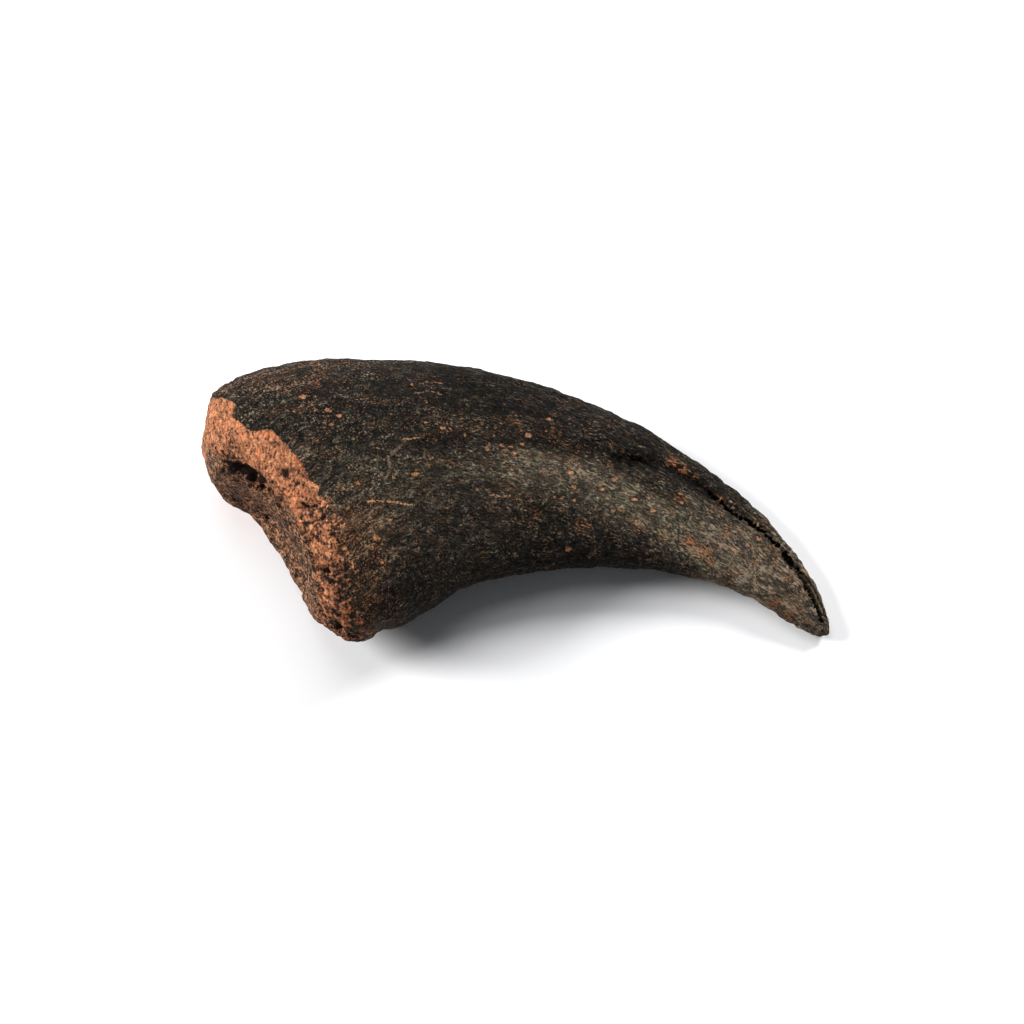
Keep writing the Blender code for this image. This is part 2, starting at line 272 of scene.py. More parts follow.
def gapToLines(lines, spots):
    # distance to the nearest line's edge, and that line's last number; each is points, half width, number
    points, halves, numbers = [], [], []
    for corners, half, number in lines:
        line = smoothLine(corners, 0.25)
        points += list(line)
        halves += [half] * len(line)
        numbers += [number] * len(line)
    gap, which = nearestOf(points, spots)
    return gap - np.array(halves)[which], np.array(numbers)[which]


def gapToDots(spots):
    # distance to the nearest dot's edge, and its tint
    dots = np.array(claw["dots"])
    squeeze = claw["dotSqueeze"]
    gap, which = nearestOf(dots[:, :2] * squeeze, spots * squeeze)
    return gap - dots[which, 2] * claw["dotScale"], dots[which, 3]


def gapToMarks(kind, spots):
    # distance to the edge of the nearest mark of this kind
    if kind == "slot":
        return gapToLine("slot", spots, 0.3) - claw["slotHalf"]
    if kind == "dots":
        return gapToDots(spots)[0]
    return gapToLines(claw[kind], spots)[0]


def coordinates(mesh):
    places = np.empty(len(mesh.vertices) * 3)
    mesh.vertices.foreach_get("co", places)
    return places.reshape(-1, 3)


def directions(mesh):
    out = np.empty(len(mesh.vertices) * 3)
    mesh.vertex_normals.foreach_get("vector", out)
    return out.reshape(-1, 3)


def skinCopy(nodeName):
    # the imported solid's own skin in mm, its loose triangles joined up and paired into quads
    shell = bmesh.new()
    shell.from_mesh(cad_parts[nodeName].data)
    bmesh.ops.scale(shell, vec=(1 / mm,) * 3, verts=shell.verts)
    bmesh.ops.remove_doubles(shell, verts=shell.verts, dist=0.001)
    bend = math.radians(60)
    bmesh.ops.join_triangles(shell, faces=shell.faces, angle_face_threshold=bend, angle_shape_threshold=bend)
    return shell


def smoothed(shell, levels):
    # the shell with Subdivision Surface applied
    mesh = bpy.data.meshes.new("clawSkin")
    shell.to_mesh(mesh)
    shell.free()
    holder = bpy.data.objects.new("clawHolder", mesh)
    bpy.context.scene.collection.objects.link(holder)
    modifier = holder.modifiers.new("smooth", "SUBSURF")
    modifier.levels = levels
    modifier.render_levels = levels
    graph = bpy.context.evaluated_depsgraph_get()
    result = bpy.data.meshes.new_from_object(holder.evaluated_get(graph))
    bpy.data.objects.remove(holder)
    return result


def splitNear(mesh, reach):
    # splits the upper faces that come within reach of a mark of each kind
    spots = coordinates(mesh)[:, :2]
    near = np.zeros(len(spots), bool)
    for kind, limit in reach.items():
        near |= gapToMarks(kind, spots) < limit
    near &= directions(mesh)[:, 2] > 0.05
    shell = bmesh.new()
    shell.from_mesh(mesh)
    shell.verts.ensure_lookup_table()
    chosen = [face for face in shell.faces if any(near[v.index] for v in face.verts)]
    edges = {edge for face in chosen for edge in face.edges}
    bmesh.ops.subdivide_edges(shell, edges=list(edges), cuts=1, use_grid_fill=True)
    shell.to_mesh(mesh)
    shell.free()


def roundPits(places, pits, rough):
    # how deep every pit digs at each place, and how strong the painted shade of the deepest of them is there
    dug = np.zeros(len(places))
    shade = np.zeros(len(places))
    for x, y, z, radius, depth in pits:
        away = np.linalg.norm(places - (x, y, z), axis=1)
        near = away < radius * 2
        ragged = away[near] + lumps(places[near], radius * 0.8, 2, x) * radius * rough
        bowl = ease(-ragged, -radius, -radius * 0.25)
        dug[near] += bowl * depth
        shade[near] = np.maximum(shade[near], bowl)
    return dug, shade


clawMesh = smoothed(skinCopy("claw"), claw["smoothing"])
print("claw skin:", len(clawMesh.polygons), "faces")
for reach in claw["fineReach"]:
    splitNear(clawMesh, reach)
print("claw skin with fine places:", len(clawMesh.polygons), "faces")

places = coordinates(clawMesh)
outward = directions(clawMesh)
spots = places[:, :2]
upper = ease(outward[:, 2], -0.1, 0.35)

# how far along the claw and across it each point lies, from the joint to the tip
middle = smoothLine(claw["middleLine"], 0.5)
across, along = nearestOf(middle, spots)
across = across * sideOf(middle, spots, along)
ahead = np.gradient(middle, axis=0)
ahead /= np.linalg.norm(ahead, axis=1)[:, None]
run = np.concatenate([[0], np.cumsum(np.hypot(*np.diff(middle, axis=0).T))])[along]
run = run + np.einsum("ij,ij->i", spots - middle[along], ahead[along])
flow = np.column_stack([run, across, places[:, 2]])

# how far inside the worn joint end each point lies; its edge wanders on the far side in a way of its own
wearLine = smoothLine(claw["wearEdge"], 0.3)
wear, which = nearestOf(wearLine, spots)
wear = -wear * sideOf(wearLine, spots, which)
wear += lumpy("wearWander", places) * ease(places[:, 2], 33, 18)

# the joint face's cup: it looks out of the joint end, and up or down towards its own middle plane
heel, lip = np.array(claw["jointHeel"]), np.array(claw["jointLip"])
faceSpan = np.linalg.norm(lip - heel)
faceRun = (lip - heel) / faceSpan
faceOut = np.array([-faceRun[1], faceRun[0]])
faceOut *= -np.sign(faceOut[0])
facing = outward[:, :2] @ faceOut
share = (spots - heel) @ faceRun / faceSpan
level, slopeX, slopeY = claw["jointMiddle"]
offMiddle = places[:, 2] - (level + slopeX * places[:, 0] + slopeY * places[:, 1])
turnedIn = -outward[:, 2] * np.clip(offMiddle / 5, -1, 1)
cup = ease(facing, 0.30, 0.55) * ease(turnedIn, -0.45, -0.20) * ease(share, 0.12, 0.26)
cup *= ease(share, 1.13, 1.05) * ease(offMiddle + 20 - (share - 0.73) * 22, 0.5, 3.5)


def patchOfFace(at, size):
    # a soft patch of the joint face: share of the way from heel to lip, and mm off the middle
    return bell(share - at[0], size[0]) * bell(offMiddle - at[1], size[1])


hollow = patchOfFace(claw["hollowAt"], claw["hollowSize"]) * ease(facing, 0.0, 0.4)

slotGap = gapToLine("slot", spots, 0.3)
troughGap = gapToLine("trough", spots, 0.4)
valleyGap = gapToLine("valley", spots, 0.4)
slitGap, slitDepth = gapToLines(claw["slits"], spots)
veinGap, veinTint = gapToLines(claw["veins"], spots)
dotGap, dotTint = gapToDots(spots)
worn = ease(wear + lumpy("wearRagged", places), -0.25, 0.35)
blade = ease(places[:, 0], -35, 5)
tipEnd = ease(places[:, 0], 40, 62)
wrinkled = ease(wear, -16, -3) * (1 - worn) * ease(places[:, 1], -12, 4)
print("claw measured")

# the relief, in mm along each point's own outward direction
lift = lumpy("broad", places) + lumpy("middling", places)
lift += lumpy("bladeFolds", flow) * blade
lift += lumpy("skinFibres", flow) * (1 - worn)
lift += lumpy("small", places)
lift += lumpy("wrinkles", places) * wrinkled
wornCells = (cells(places, claw["wornCellSize"]) - 0.45) * claw["wornCellHeight"]
lift += worn * (1 - cup * 0.3) * (wornCells + lumpy("wornGrain", places))
lift -= worn * (1 - cup) * claw["wornLoss"]
lift -= ease(lumpy("heelPocks", places), 0.12, 0.42) * claw["pockDepth"] * worn * ease(places[:, 1], 6, -20)
lift += lumpy("tipKnobs", places) * tipEnd
lift += cup * claw["cupFill"] * ease(share, 0.80, 0.45)

# the trough, valley and slot run round to the far side, where they are shallower
lift -= claw["troughDepth"] * bell(troughGap, claw["troughHalf"]) * (0.35 + 0.65 * upper)
lift -= claw["valleyDepth"] * bell(valleyGap, claw["valleyHalf"]) * (0.35 + 0.65 * upper)
slotEdge = slotGap + lumpy("slotRagged", places) + lumpy("slotWander", places)
slotEdge -= ease(places[:, 0], 72, 78) * claw["slotTipWidening"]
# painted shade: the slot is blackened in the finish
slotShade = ease(-slotEdge, -claw["slotHalf"] - 0.25, -0.1) * upper
lift -= claw["slotDepth"] * ease(-slotEdge, -claw["slotHalf"] - 0.15, -0.1) * (0.3 + 0.7 * upper)
# painted shade: the slits are blackened in the finish
slitShade = ease(-(slitGap + lumpy("slitRagged", places)), -0.25, 0.4) * upper
lift -= slitDepth * slitShade
dug, pitShade = roundPits(places, claw["pits"], claw["pitRough"])
lift -= dug + roundPits(places, claw["dips"], claw["dipRough"])[0]
lift -= claw["dotDip"] * ease(-dotGap, -0.05, 0.3) * upper
lift += claw["dotRim"] * ease(-dotGap, -0.8, -0.3) * ease(dotGap, -0.1, 0.25) * upper
lift *= ease(places[:, 2], 0.15, 1.6)  # none where it lies on the floor

# it may swell only as far as the solid's own box allows
low = np.array(cadLow) / mm
high = np.array(cadHigh) / mm
room = np.where(outward > 0, high - places, places - low) / np.maximum(np.abs(outward), 0.02)
room = np.maximum(room.min(axis=1), 0.01)
lift = np.where(lift > 0, room * (1 - np.exp(-lift / room)), lift)
moved = places + outward * lift[:, None]
moved[:, :2] -= faceOut * (claw["hollowDepth"] * hollow * (1 + lumpy("hollowRough", places)))[:, None]
clawMesh.vertices.foreach_set("co", np.clip(moved, low, high).ravel())

rust = np.zeros(len(places))
chalk = np.zeros(len(places))
for x, y, radius, rusty, chalky in claw["patches"]:
    near = bell(np.hypot(spots[:, 0] - x, spots[:, 1] - y), radius) * upper
    rust = np.maximum(rust, near * rusty)
    chalk = np.maximum(chalk, near * chalky)


def keep(name, values, kind="FLOAT"):
    attribute = clawMesh.attributes.new(name, kind, "POINT")
    socket = "vector" if kind == "FLOAT_VECTOR" else "value"
    attribute.data.foreach_set(socket, np.asarray(values, float).ravel())


# what the finish reads at each point; a gap of farOff is no mark at all
farOff = 9.0
troughShade = bell(troughGap, claw["troughHalf"]) * 0.8
valleyShade = bell(valleyGap, claw["valleyShadeHalf"])
# painted shade: the hollow under the lip is blackened in the finish
hollowShade = ease(hollow + lumpy("hollowRagged", places), 0.22, 0.60)
keep("flow", flow, "FLOAT_VECTOR")
keep("wear", wear)
keep("cup", cup)
# painted shade: the skin is darkened along the trough and the valley, where shade falls
keep("grooveShade", np.maximum(troughShade, valleyShade) * upper)
# painted shade: black in the slot, slits, pits and the hollow, where shade falls
keep("paintedHoleShade", np.maximum.reduce([slotShade, slitShade, pitShade * 0.9, hollowShade]))
keep("deep", patchOfFace(claw["deepAt"], claw["deepSize"]))
keep("dotGap", np.where(upper > 0.3, dotGap, farOff))
keep("dotTint", dotTint)
keep("veinGap", np.where(upper > 0.3, veinGap, farOff))
keep("veinTint", veinTint)
keep("rust", rust)
keep("chalk", chalk)
print("claw shaped")

for vertex in clawMesh.vertices:
    vertex.co *= mm
for face in clawMesh.polygons:
    face.use_smooth = True
clawMesh.update()
clawPiece = bpy.data.objects.new("clawBone", clawMesh)
bpy.context.scene.collection.objects.link(clawPiece)


# The stone-hard bone's finish. Colours are linear; sizes and coordinates are in mm.
bone = {
    "skin": (  # each of these lists runs from the darkest grain to the palest
        (0.16, (0.0012, 0.0011, 0.0010)), (0.36, (0.0040, 0.0035, 0.0030)), (0.50, (0.0110, 0.0092, 0.0072)),
        (0.62, (0.0280, 0.0228, 0.0172)), (0.76, (0.0920, 0.0710, 0.0500)), (0.95, (0.3200, 0.2350, 0.1550)),
    ),
    "worn": (
        (0.18, (0.0090, 0.0075, 0.0060)), (0.35, (0.0480, 0.0280, 0.0200)), (0.45, (0.1800, 0.0740, 0.0400)),
        (0.55, (0.3700, 0.1420, 0.0660)), (0.68, (0.5300, 0.2350, 0.1120)), (0.86, (0.7400, 0.4300, 0.2400)),
    ),
    # the joint face's cup, darker brown: partly its own tone, partly painted shade
    "cup": (
        (0.22, (0.0050, 0.0040, 0.0034)), (0.38, (0.0220, 0.0150, 0.0115)), (0.50, (0.0620, 0.0370, 0.0260)),
        (0.63, (0.1700, 0.0860, 0.0500)), (0.80, (0.4300, 0.2100, 0.1100)),
    ),
    # black for the rings round the filled holes, and painted shade in the slot, slits, pits and hollow
    "blackRingAndShade": (0.0030, 0.0026, 0.0024),
    "green": (0.91, 1.02, 0.95),  # tints the skin where it turns grey-green
    "redden": (1.00, 0.76, 0.68),  # tints the worn end where it turns redder
    "brown": (1.22, 0.88, 0.70),  # tints the skin here and there, and beside the worn end
    "haze": (0.0560, 0.0490, 0.0390),  # evens out the bulge and the tip
    "orange": (0.4200, 0.1650, 0.0680),
    "rust": (0.2000, 0.0680, 0.0300),
    "peach": (0.5800, 0.3000, 0.1500),
    "cream": (0.4200, 0.3200, 0.2000),
    "tan": (0.1150, 0.0930, 0.0710),
    "chalk": (0.2300, 0.1900, 0.1400),
    "grains": {  # what each follows, its lumps' sizes, detail, roughness, shift
        "fineLong": ("flow", (1.15, 0.43, 0.43), 3.0, 0.72, 14.0),
        "fineRound": ("place", (0.54, 0.54, 0.54), 2.6, 0.70, 31.0),
        "streaks": ("flow", (7.0, 0.65, 0.65), 5.0, 0.70, 5.0),
        "folds": ("flow", (4.2, 1.5, 1.5), 3.0, 0.60, 88.0),
        "clumps": ("flow", (9.0, 4.5, 4.5), 2.0, 0.50, 66.0),
        "crowd": ("flow", (9.0, 3.5, 3.5), 4.0, 0.60, 40.0),
        "hue": ("flow", (6.0, 2.6, 2.6), 3.0, 0.60, 93.0),
        "dapple": ("place", (2.4, 2.0, 2.0), 4.0, 0.65, 9.0),
        "mottle": ("place", (4.0, 2.8, 2.8), 4.0, 0.65, 29.0),
        "drift": ("place", (17.0, 13.0, 13.0), 3.0, 0.55, 2.0),
        "flecks": ("flow", (3.3, 0.38, 0.38), 2.0, 0.60, 51.0),
        "sprinkle": ("place", (0.75, 0.62, 0.62), 2.0, 0.60, 12.0),
        "blobs": ("flow", (1.9, 1.1, 1.1), 1.5, 0.50, 77.0),
        "shake": ("place", (0.8, 0.6, 0.6), 2.5, 0.65, 61.0),
        "strokes": ("place", (0.62, 1.40, 0.85), 2.5, 0.62, 23.0),
        "patchy": ("place", (3.6, 3.0, 3.0), 4.0, 0.62, 71.0),
        "clots": ("place", (1.7, 1.5, 1.5), 2.0, 0.60, 44.0),
        "fibres": ("face", (1.3, 0.6, 0.6), 2.5, 0.60, 19.0),
        "edge": ("place", (2.4, 2.4, 2.4), 5.0, 0.72, 17.0),
    },
    "wobble": (6.25, 2.0, (1.0, 2.4, 2.4)),  # sways the grains that follow the flow: size, detail, sway
    "zones": {  # soft-edged areas: which coordinate, where it starts, where it is full
        "blade": (("x", -45.0, 0.0),),
        "bulge": (("x", -20.0, 8.0), ("x", 62.0, 46.0), ("across", -14.0, -5.0), ("across", 6.0, 2.0)),
        "tipFlank": (("x", 42.0, 60.0), ("across", 13.0, 7.0)),
        "tipEnd": (("x", 60.0, 75.0),),
        # the inner curve, where the skin tone is darkened as painted shade
        "shadedInnerCurve": (("across", -7.0, -14.0), ("x", 55.0, 30.0), ("x", -34.0, -18.0)),
        "flank": (("y", -28.0, -12.0), ("y", 12.0, 3.0), ("x", 12.0, -10.0)),
        "besideWorn": (("x", -28.0, -42.0), ("y", -2.0, -16.0)),
        "ridge": (("across", 6.0, 12.0), ("x", -45.0, -20.0), ("x", 72.0, 58.0)),
        "darkBack": (("across", 8.0, 13.0), ("x", -30.0, -18.0), ("x", 10.0, -4.0)),
        "fleckedBack": (
            ("across", -2.0, 3.0), ("across", 15.0, 8.0), ("x", -42.0, -25.0), ("x", 45.0, 25.0),
        ),
        "fleckedFront": (("across", -5.0, -9.0), ("x", -12.0, 4.0), ("x", 45.0, 30.0)),
        "shoulder": (("x", -44.0, -56.0), ("y", 19.0, 25.0)),
        "heel": (("y", 6.0, -16.0),),
        "heelEnd": (("y", -22.0, -38.0),),
    },
    "mixes": {  # how far each grain swings each tone round its middle
        "skin": {"streaks": 0.70, "dapple": 0.55, "crowd": 0.35},
        "flecks": {"flecks": 1.0, "crowd": 0.45, "fine": 0.35},
        "sprinkle": {"sprinkle": 1.0, "crowd": 0.4},
        "blobs": {"blobs": 1.0, "fine": 0.35},
        "rust": {"flecks": 0.8, "streaks": 1.0, "fine": 0.8},
        "chalk": {"fine": 1.1, "dapple": 1.2},
        "veins": {"dapple": 1.0, "fine": 0.8},
        "worn": {"fineRound": 0.70, "strokes": 0.95, "patchy": 0.60, "dapple": 0.35},
        "heel": {"patchy": 1.1, "clots": 1.2},
        "redden": {"patchy": 1.0, "clots": 0.5},
        "cup": {"fineRound": 1.5, "fibres": 1.5, "dapple": 1.0, "patchy": 0.8},
        "holeShade": {"clots": 1.3, "fineRound": 1.0},
        "matt": {"dapple": 1.0, "folds": 0.8},
    },
    "shifts": {  # how much paler or darker each tone is in these areas, from its own start
        "skin": (0.062, {
            # painted light and shade: the bulge is paler partly as painted light where it faces the light,
            # besides its greyer tone, and the inner curve is darker as painted shade
            "bulge": 0.165, "tip": 0.19, "shadedInnerCurve": -0.045, "flank": 0.085, "besideWorn": 0.085,
            "grooveShade": -0.08, "crease": -0.13, "ridge": -0.04, "darkBack": -0.06,
        }),
        "flecks": (0.0, {"fleckedBack": 0.075, "fleckedFront": 0.035}),
        "sprinkle": (0.0, {"shoulder": 0.14}),
        "blobs": (0.0, {"bulge": 0.05, "tip": 0.05}),
        "rust": (0.0, {"rust": 0.27}),
        "chalk": (0.0, {"chalk": 0.22}),
        "worn": (0.035, {"heel": -0.04, "heelEnd": -0.13, "rust": 0.10}),
        "cup": (0.02, {"deep": 0.07}),
        "holeShade": (-0.5, {"paintedHoleShade": 1.0}),
    },
    "covers": {  # each colour's tone where it begins to show and where it is full, and how far it covers
        "hue": (0.50, 0.62, 0.75),
        "flecks": (0.72, 0.80, 0.90),
        "sprinkle": (0.74, 0.81, 0.75),
        "blobs": (0.73, 0.80, 0.65),
        "rust": (0.58, 0.92, 0.85),
        "chalk": (0.62, 0.84, 0.80),
        "veins": (0.06, -0.22, 0.80),
        "dotRings": (1.00, 0.10, 0.45),
        "dots": (0.12, -0.20, 0.88),
        "redden": (0.52, 0.66, 1.00),
        "cup": (0.35, 0.75, 0.92),
        "worn": (-0.25, 0.30, 1.00),
        "holeShade": (0.30, 0.75, 0.93),
    },
    "shake": 1.6,  # how far the edges of dots and veins stray
    "sparkle": (1.05, 0.95),  # the fine grain's swing between its clumps, and what a clump adds
    "calm": {"pale": -0.20, "flanks": -0.25},  # what these areas take off it
    "mottle": 0.45,
    "heelSwing": 0.85,
    "edgeSpread": (2.4, 24.0),  # how ragged the worn end's edge is, and what the heel adds
    "specular": 0.07,
    "roughness": (0.45, 0.50),  # the smoothest, and what the mattest adds
    "relief": {
        "streaks": 0.35, "crease": -0.15, "dapple": 0.70, "folds": 0.60, "fine": 0.30, "strokes": 0.36,
    },
}


class Nodes:
    # short ways to lay and wire a material's nodes; fields holds its grains and areas by name
    def __init__(self, tree):
        self.tree = tree
        self.fields = {}

    def new(self, kind, **settings):
        node = self.tree.nodes.new(kind)
        for name, value in settings.items():
            setattr(node, name, value)
        return node

    def feed(self, socket, value):
        if isinstance(value, bpy.types.NodeSocket):
            self.tree.links.new(value, socket)
        elif isinstance(value, tuple) and socket.type == "RGBA":
            socket.default_value = (*value, 1.0)
        else:
            socket.default_value = value

    def reckon(self, operation, *values):
        node = self.new("ShaderNodeMath", operation=operation)
        for socket, value in zip(node.inputs, values):
            self.feed(socket, value)
        return node.outputs[0]

    def plus(self, first, second):
        return self.reckon("ADD", first, second)

    def less(self, first, second):
        return self.reckon("SUBTRACT", first, second)

    def larger(self, first, second):
        return self.reckon("MAXIMUM", first, second)

    def times(self, first, *others):
        for other in others:
            first = self.reckon("MULTIPLY", first, other)
        return first

    def scaled(self, value, factor, start):
        return self.reckon("MULTIPLY_ADD", value, factor, start)

    def vector(self, operation, first, second):
        node = self.new("ShaderNodeVectorMath", operation=operation)
        self.feed(node.inputs[0], first)
        self.feed(node.inputs[1], second)
        return node.outputs[0]

    def axes(self, vector):
        node = self.new("ShaderNodeSeparateXYZ")
        self.feed(node.inputs[0], vector)
        return node.outputs

    def attribute(self, name, output="Fac"):
        return self.new("ShaderNodeAttribute", attribute_name=name).outputs[output]

    def noise(self, place, sizes, detail, roughness=0.5, shift=0.0):
        # noise with lumps of these sizes along the three axes
        node = self.new("ShaderNodeTexNoise", noise_dimensions="3D")
        scaled = self.vector("MULTIPLY", place, tuple(1 / size for size in sizes))
        self.feed(node.inputs["Vector"], self.vector("ADD", scaled, (shift, shift * 0.7, -shift)))
        node.inputs["Scale"].default_value = 1.0
        node.inputs["Detail"].default_value = detail
        node.inputs["Roughness"].default_value = roughness
        return node.outputs

    def band(self, value, start, end):
        # 0 at start, 1 at end, smooth between; start may be the higher of the two
        node = self.new("ShaderNodeMapRange", interpolation_type="SMOOTHSTEP")
        self.feed(node.inputs["Value"], value)
        node.inputs["From Min"].default_value = min(start, end)
        node.inputs["From Max"].default_value = max(start, end)
        node.inputs["To Min"].default_value = 0.0 if start < end else 1.0
        node.inputs["To Max"].default_value = 1.0 if start < end else 0.0
        return node.outputs["Result"]

    def ramp(self, value, stops):
        node = self.new("ShaderNodeValToRGB")
        self.feed(node.inputs[0], value)
        marks = node.color_ramp.elements
        marks.remove(marks[1])
        marks[0].position = stops[0][0]
        marks[0].color = (*stops[0][1], 1.0)
        for position, colour in stops[1:]:
            marks.new(position).color = (*colour, 1.0)
        return node.outputs["Color"]

    def tally(self, start, weights):
        # start plus each named field times its weight
        total = start
        for name, weight in weights.items():
            total = self.scaled(self.fields[name], weight, total)
        return total

    def swing(self, name):
        # a mix of grains, 0.5 where each is at its middle
        weights = bone["mixes"][name]
        return self.tally(0.5 - 0.5 * sum(weights.values()), weights)

    def tone(self, name):
        # a mix of grains, moved up or down area by area
        return self.plus(self.swing(name), self.tally(*bone["shifts"][name]))

    def mix(self, share, first, second):
        node = self.new("ShaderNodeMix", data_type="FLOAT")
        self.feed(node.inputs[0], share)
        self.feed(node.inputs[2], first)
        self.feed(node.inputs[3], second)
        return node.outputs[0]

    def blend(self, share, under, over, mode="MIX"):
        node = self.new("ShaderNodeMix", data_type="RGBA", blend_type=mode)
        self.feed(node.inputs[0], share)
        self.feed(node.inputs[6], under)
        self.feed(node.inputs[7], over)
        return node.outputs[2]

    def cover(self, name, tone, under, over, within=1.0, mode="MIX"):
        # lays one colour over another where the tone lies past this cover's limits
        start, full, strength = bone["covers"][name]
        return self.blend(self.times(self.band(tone, start, full), within, strength), under, over, mode)


def fossilBone():
    material = bpy.data.materials.new("fossilBone")
    material.use_nodes = True
    n = Nodes(material.node_tree)
    shader = material.node_tree.nodes["Principled BSDF"]

    # what the grains may follow: the claw as it lies, the run of the bone, and the run of the joint face
    place = n.vector("MULTIPLY", n.new("ShaderNodeTexCoord").outputs["Object"], (1 / mm,) * 3)
    flow = n.attribute("flow", "Vector")
    size, detail, sway = bone["wobble"]
    wobble = n.noise(place, (size,) * 3, detail)["Color"]
    turned = n.new("ShaderNodeMapping", vector_type="POINT")
    n.feed(turned.inputs["Vector"], place)
    turned.inputs["Rotation"].default_value = (0.0, 0.0, -math.atan2(faceRun[1], faceRun[0]))
    runs = {
        "place": place,
        "flow": n.vector("ADD", flow, n.vector("MULTIPLY", wobble, sway)),
        "face": turned.outputs["Vector"],
    }

    # every grain and area by name
    placeAxes = n.axes(place)
    axes = {"x": placeAxes[0], "y": placeAxes[1], "across": n.axes(flow)[1]}
    fields = n.fields
    for name, bands in bone["zones"].items():
        fields[name] = n.times(*(n.band(axes[axis], start, full) for axis, start, full in bands))
    for name, (follows, *grain) in bone["grains"].items():
        fields[name] = n.noise(runs[follows], *grain)["Fac"]
    for name in ("grooveShade", "rust", "chalk", "deep", "paintedHoleShade"):
        fields[name] = n.attribute(name)
    fields["tip"] = n.larger(fields["tipFlank"], n.times(fields["tipEnd"], 0.85))
    fields["pale"] = n.larger(fields["bulge"], fields["tip"])
    fields["flanks"] = n.larger(fields["flank"], fields["besideWorn"])
    fields["crease"] = n.band(n.reckon("ABSOLUTE", n.less(fields["folds"], 0.5)), 0.040, 0.0)
    fields["fine"] = n.mix(n.times(fields["blade"], 0.85), fields["fineRound"], fields["fineLong"])
    fine, dapple, pale = fields["fine"], fields["dapple"], fields["pale"]

    # the dark skin, paler over the bulge below the groove and towards the tip, darkest along the inner
    # curve; the bulge's paleness is partly its greyer tone and partly painted light where it faces the
    # light, and the inner curve's darkness is painted shade where it turns away from the light
    least, more = bone["sparkle"]
    sparkle = n.scaled(n.band(fields["clumps"], 0.38, 0.60), more, least)
    for name, change in bone["calm"].items():
        sparkle = n.times(sparkle, n.scaled(fields[name], change, 1.0))
    sparkle = n.times(sparkle, n.less(fine, 0.5))
    mottled = n.times(pale, n.less(fields["mottle"], 0.5), bone["mottle"])
    skin = n.ramp(n.plus(n.plus(n.tone("skin"), sparkle), mottled), bone["skin"])
    skin = n.blend(n.times(fields["besideWorn"], 0.8), skin, bone["brown"], "MULTIPLY")
    green = n.larger(n.times(n.band(fields["drift"], 0.47, 0.60), 0.6), n.times(fields["bulge"], 0.9))
    skin = n.blend(n.times(green, n.band(dapple, 0.36, 0.58)), skin, bone["green"], "MULTIPLY")
    skin = n.cover("hue", fields["hue"], skin, bone["brown"], mode="MULTIPLY")
    skin = n.blend(n.times(pale, 0.20), skin, bone["haze"])

    # orange flecks in drifts, more of them beside the groove and low on the blade
    rusty = n.blend(n.band(fine, 0.40, 0.62), bone["rust"], bone["orange"])
    skin = n.cover("flecks", n.tone("flecks"), skin, rusty)
    skin = n.cover("sprinkle", n.tone("sprinkle"), skin, rusty)
    creamy = n.blend(n.band(fields["drift"], 0.42, 0.58), bone["orange"], bone["cream"])
    skin = n.cover("blobs", n.tone("blobs"), skin, creamy)

    # stains and veins break up into grains; the filled holes stay whole, in a dark ring
    skin = n.cover("rust", n.tone("rust"), skin, rusty, n.band(fields["rust"], 0.1, 0.5))
    skin = n.cover("chalk", n.tone("chalk"), skin, bone["chalk"], n.band(fields["chalk"], 0.1, 0.5))
    shake = n.times(n.less(fields["shake"], 0.5), bone["shake"])
    veinEdge = n.plus(n.attribute("veinGap"), shake)
    veinColour = n.blend(n.attribute("veinTint"), bone["peach"], bone["tan"])
    skin = n.cover("veins", veinEdge, skin, veinColour, n.band(n.swing("veins"), 0.24, 0.46))
    dotEdge = n.plus(n.attribute("dotGap"), shake)
    dotDark = n.blend(0.3, bone["rust"], bone["orange"])
    dotColour = n.blend(n.band(fields["fineRound"], 0.38, 0.66), dotDark, bone["peach"])
    dotColour = n.blend(n.times(n.attribute("dotTint"), 0.45), dotColour, bone["cream"])
    skin = n.cover("dotRings", dotEdge, skin, bone["blackRingAndShade"])
    skin = n.cover("dots", dotEdge, skin, dotColour)

    # the worn joint end: orange, with short black strokes, darker and more broken towards the heel
    broken = n.times(fields["heel"], n.less(n.swing("heel"), 0.5))
    worn = n.ramp(n.scaled(broken, bone["heelSwing"], n.tone("worn")), bone["worn"])
    worn = n.cover("redden", n.swing("redden"), worn, bone["redden"], mode="MULTIPLY")
    # the joint face's cup turns darker brown, partly its own tone and partly painted shade
    cupEdge = n.scaled(n.less(dapple, 0.5), 1.6, n.attribute("cup"))
    worn = n.cover("cup", cupEdge, worn, n.ramp(n.tone("cup"), bone["cup"]))
    spread, heelSpread = bone["edgeSpread"]
    stray = n.times(n.less(fields["edge"], 0.5), n.scaled(fields["heel"], heelSpread, spread))
    colour = n.cover("worn", n.plus(n.attribute("wear"), stray), skin, worn)
    # painted shade: the slot, slits, pits and hollow turn black
    colour = n.cover("holeShade", n.tone("holeShade"), colour, bone["blackRingAndShade"])
    n.feed(shader.inputs["Base Color"], colour)

    # shine and fine relief
    smoothest, mattest = bone["roughness"]
    n.feed(shader.inputs["Roughness"], n.scaled(n.band(n.swing("matt"), 0.28, 0.60), mattest, smoothest))
    shader.inputs["Specular IOR Level"].default_value = bone["specular"]
    bump = n.new("ShaderNodeBump")
    bump.inputs["Strength"].default_value = 1.0
    bump.inputs["Distance"].default_value = mm
    n.feed(bump.inputs["Height"], n.tally(0.0, bone["relief"]))
    n.feed(shader.inputs["Normal"], bump.outputs["Normal"])
    return material


clawMesh.materials.clear()
clawMesh.materials.append(fossilBone())
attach(clawPiece, "root")
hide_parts("claw")
print("claw finished")

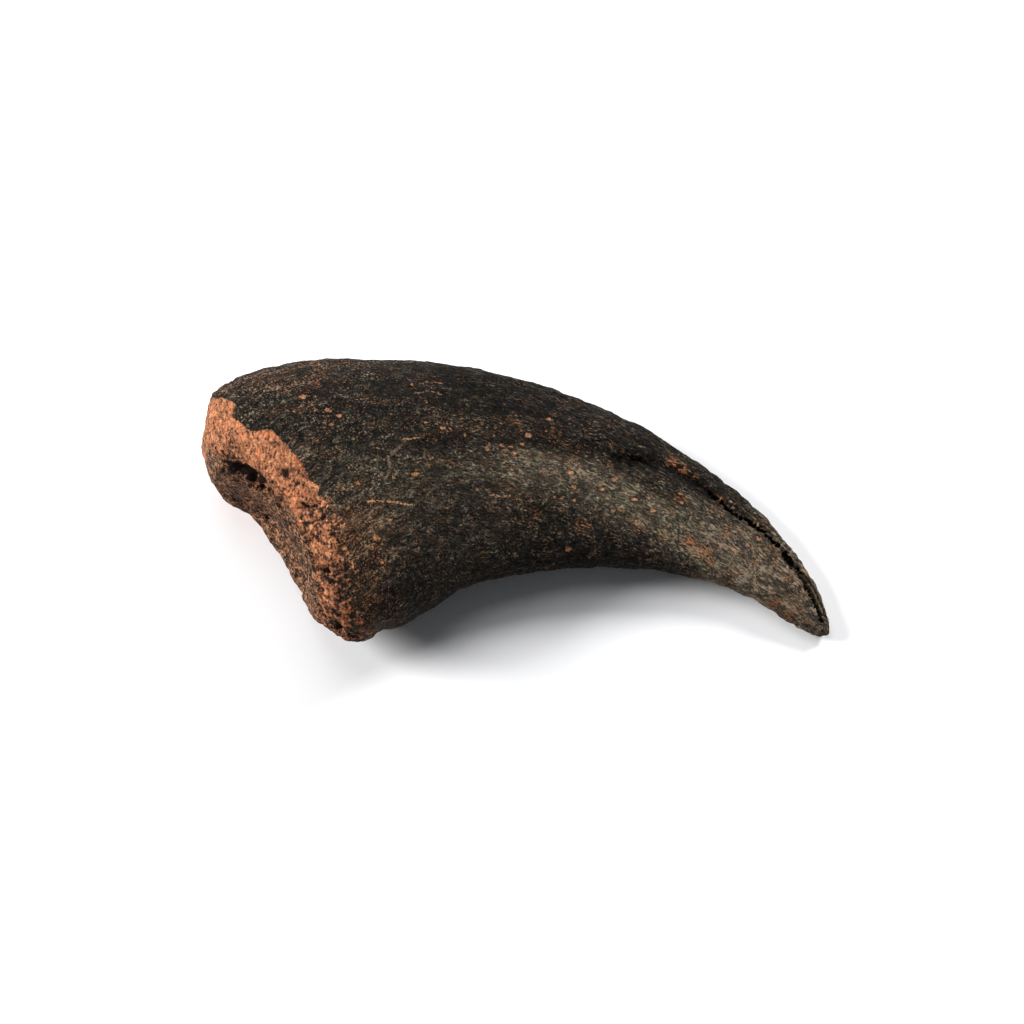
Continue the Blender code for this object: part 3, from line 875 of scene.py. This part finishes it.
studio = {
    "floorSize": 4.0,
    "floorColour": (0.93, 0.93, 0.94),
    "floorRoughness": 0.9,
    "floorSpecular": 0.1,
    "lights": {  # place, size and power
        "left": ((-1.036, 0.220, 0.563), 0.52, 21.0),
        "back": ((0.720, 0.720, 0.636), 0.42, 14.5),
        "top": ((-0.136, 0.508, 1.079), 0.85, 4.8),
    },
    "air": (0.92, 0.96, 1.0),
    "airStrength": 0.11,
    "aim": (-0.0010, -0.0012, 0.0120),
    "height": 72.5,  # degrees above the floor
    "distance": 0.7945,
    "lens": 100.0,
    "sensor": 36.0,
    "nearest": 0.01,
}


def layFloor():
    shell = bmesh.new()
    bmesh.ops.create_grid(shell, x_segments=8, y_segments=8, size=studio["floorSize"] / 2)
    mesh = bpy.data.meshes.new("floor")
    shell.to_mesh(mesh)
    shell.free()
    floor = bpy.data.objects.new("floor", mesh)
    bpy.context.scene.collection.objects.link(floor)
    material = bpy.data.materials.new("paleFloor")
    material.use_nodes = True
    shader = material.node_tree.nodes["Principled BSDF"]
    shader.inputs["Base Color"].default_value = (*studio["floorColour"], 1.0)
    shader.inputs["Roughness"].default_value = studio["floorRoughness"]
    shader.inputs["Specular IOR Level"].default_value = studio["floorSpecular"]
    mesh.materials.append(material)


def softLight(name, place, size, power):
    light = bpy.data.lights.new(name, "AREA")
    light.shape = "DISK"
    light.size = size
    light.energy = power
    lamp = bpy.data.objects.new(name, light)
    lamp.location = place
    lamp.rotation_euler = (Vector(studio["aim"]) - Vector(place)).to_track_quat("-Z", "Y").to_euler()
    bpy.context.scene.collection.objects.link(lamp)


def hangAir():
    world = bpy.data.worlds.new("air")
    world.use_nodes = True
    background = world.node_tree.nodes["Background"]
    background.inputs["Color"].default_value = (*studio["air"], 1.0)
    background.inputs["Strength"].default_value = studio["airStrength"]
    bpy.context.scene.world = world


def standCamera():
    data = bpy.data.cameras.new("camera")
    data.lens = studio["lens"]
    data.sensor_width = studio["sensor"]
    data.clip_start = studio["nearest"]
    camera = bpy.data.objects.new("camera", data)
    tilt = math.radians(studio["height"])
    back = Vector((0.0, -math.cos(tilt), math.sin(tilt)))
    camera.location = Vector(studio["aim"]) + back * studio["distance"]
    camera.rotation_euler = back.to_track_quat("Z", "Y").to_euler()
    bpy.context.scene.collection.objects.link(camera)
    bpy.context.scene.camera = camera


layFloor()
for name, (place, size, power) in studio["lights"].items():
    softLight(name, place, size, power)
hangAir()
standCamera()
bpy.context.scene.view_settings.view_transform = "Standard"
print("studio ready")
